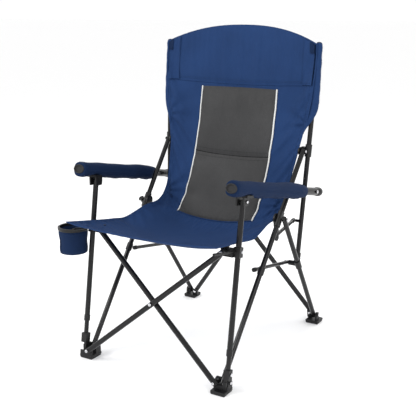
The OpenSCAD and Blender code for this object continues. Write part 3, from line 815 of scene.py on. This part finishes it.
for side, k in ((-1, "l"), (1, "r")):
    for name, x, y, z, body in (("foot_out", 271, 8, 30, "foot"), ("clamp", 277.5, -1.3, 61.1, "foot"),
                                ("plate", 284.4, 337.6, 450.5, "diag"),
                                ("guide", 273.2, 489.8, 644.7, "guide"),
                                ("rear_out", 278.5, 632, 30, "rfoot"), ("arm", 314, 500, 513, "back"),
                                ("saddle", 281, 77.5, 563, "arm"), ("seat", 275.5, 60, 418, "post")):
        rivet(f"{name}_{k}", S(side * x, y, z), (side, 0, 0), f"{body}_{k}", 0.95)
    for name, x, y, z, body in (("lobe", 226.8, 346, 386, "diag"), ("link", 219.3, 464.9, 268.6, "leg")):
        rivet(f"{name}_{k}", S(side * x, y, z), (-side, 0, 0), f"{body}_{k}", 0.9)
    # a small screw in the post's shoe
    shoe = post_at(0.283, side) + np.array([side * 0.0105, 0, 0])
    rivet(f"shoe_{k}", shoe, (side, 0, 0), f"back_{k}", 0.8)


def cap(name, inner, point, axis, body, radius, length=0.016):
    """A moulded cap over a tube's end: a short cuff with a domed face."""
    profile = [(inner, 0.0), (radius, 0.0), (radius + 0.0002, 0.0012), (radius, length - 0.002),
               (radius - 0.0012, length - 0.0004), (radius * 0.6, length + 0.0006), (0.0, length + 0.0008)]
    lathe(name, profile, point, axis, plastic, body, 32)


def tube_cap(name, p, q, body, radius, length=0.014, over=0.004):
    """Cap on the end q of a tube that comes from p."""
    t = unit(np.array(q) - np.array(p))
    cap(name, radius - 0.0006, np.array(q) - t * (length - over), t, body, radius + 0.0011, length)


for name, side, off, body in (("a_top", 1, A_OFF, "cross_a"), ("b_top", -1, B_OFF, "cross_b")):
    p, q = front_point(-side * FRONT_X, off, 0), front_point(side * FRONT_X, off, BRACKET_UP)
    t = unit(q - p)
    tube_cap(f"cross_cap_{name}", p, q + t * 0.009, body, 0.0085, 0.008, 0.0015)
for name, side, off, body in (("a_top", 1, A_OFF, "rear_a"), ("b_top", -1, B_OFF, "rear_b")):
    p, q = rear_point(-side * REAR_X, off, 0), rear_point(side * REAR_TOP_X, off, REAR_TOP_UP)
    t = unit(q - p)
    tube_cap(f"rear_cap_{name}", p, q + t * 0.009, body, 0.0085, 0.020, 0.0015)
for side, k in ((-1, "l"), (1, "r")):
    a0, a1 = S(side * 235.5, 346, 386), S(side * 235.5, 487, 409)
    t = unit(a1 - a0)
    tube_cap(f"strut_cap_{k}", a0, a1 + t * 0.006, f"strut_{k}", 0.006, 0.016, 0.0015)
    b0, b1 = S(side * 228.3, 464.9, 268.6), S(side * 228.3, 227, 309.4)
    t = unit(b1 - b0)
    tube_cap(f"link_cap_{k}", b0, b1 + t * 0.006, f"link_{k}", 0.006, 0.016, 0.0015)
    # collar where the front post telescopes
    foot = S(side * 265, 0, 69)
    post_dir = np.array([0, math.sin(LEAN), math.cos(LEAN)])
    ring = [(0.0078, 0.0492), (0.0078, 0.0472), (0.0092, 0.0470), (0.0097, 0.0480), (0.0097, 0.0640),
            (0.0093, 0.0656), (0.0085, 0.0660)]
    lathe(f"post_collar_{k}", ring, foot, post_dir, plastic, f"post_{k}", 32)

# ribs moulded on the feet
RIB_Z, RIB_OUT, RIB_POINTS = 8.5, 23.0, 24
for side, k in ((-1, "l"), (1, "r")):
    for tag, y0, y1, body, x0 in (("front", -26, 19, "foot", 245.25), ("rear", 618, 660, "rfoot", 259)):
        for j, x in enumerate((x0 - RIB_OUT, x0 + RIB_OUT)):
            pts = np.array([S(side * x, y, RIB_Z) for y in np.linspace(y0, y1, RIB_POINTS)])
            rope(f"foot_rib_{tag}_{k}_{j}", pts, 0.0018, plastic, f"{body}_{k}",
                 up=np.tile([0, 0, 1], (RIB_POINTS, 1)), flat=1.3)

# ---------------------------------------------------------------- finish on the carried-over frame
slots = {p["node"]: p["material_slot"] for p in frame["record"]["subparts"]}
finish = {"black_tube": tube, "black_plastic": plastic, "sole_rubber": rubber, "navy_cloth": navy,
          "navy_dark_cloth": navy_dark, "grey_cloth": grey}
for name, obj in frame["nodes"].items():
    obj.data.materials.clear()
    obj.data.materials.append(finish[slots[name]])

# ---------------------------------------------------------------- studio
floor_mesh = bpy.data.meshes.new("floor")
FLOOR_HALF = 90.0
floor_mesh.from_pydata([(x * FLOOR_HALF, y * FLOOR_HALF, 0) for x, y in ((-1, -1), (1, -1), (1, 1), (-1, 1))],
                       [], [(0, 1, 2, 3)])
floor = bpy.data.objects.new("floor", floor_mesh)
bpy.context.scene.collection.objects.link(floor)
paper = Nodes("paper")
paper.shader.inputs["Base Color"].default_value = (0.97, 0.97, 0.97, 1)
paper.shader.inputs["Roughness"].default_value = 0.9
floor_mesh.materials.append(paper.mat)

world = bpy.data.worlds.new("studio")
world.use_nodes = True
world.node_tree.nodes["Background"].inputs[0].default_value = (1, 1, 1, 1)
world.node_tree.nodes["Background"].inputs[1].default_value = 1.02
bpy.context.scene.world = world


def softbox(name, place, aim, size, watts):
    data = bpy.data.lights.new(name, "AREA")
    data.energy = watts
    data.shape = "RECTANGLE"
    data.size, data.size_y = size
    obj = bpy.data.objects.new(name, data)
    obj.location = place
    obj.rotation_euler = (Vector(aim) - Vector(place)).to_track_quat("-Z", "Y").to_euler()
    bpy.context.scene.collection.objects.link(obj)


softbox("key", (-1.9, -2.3, 2.6), (0, 0.1, 0.5), (1.6, 1.2), 62)
softbox("fill", (2.6, -1.6, 1.6), (0, 0, 0.5), (1.2, 1.8), 26)
softbox("rim", (0.6, 2.4, 2.2), (0, 0, 0.6), (1.8, 0.8), 30)

AZIMUTH, ELEVATION = math.radians(31.078), math.radians(14.069)
back = Vector((math.sin(AZIMUTH) * math.cos(ELEVATION), -math.cos(AZIMUTH) * math.cos(ELEVATION),
               math.sin(ELEVATION)))
camera = bpy.data.objects.new("camera", bpy.data.cameras.new("camera"))
camera.data.sensor_width = 36
camera.data.lens = 67.76
camera.location = (1.2958 + SHIFT_X, -1.8227 + SHIFT_Y, 1.0847)
camera.rotation_euler = back.to_track_quat("Z", "Y").to_euler()
bpy.context.scene.collection.objects.link(camera)
bpy.context.scene.camera = camera
bpy.context.scene.view_settings.view_transform = "Standard"
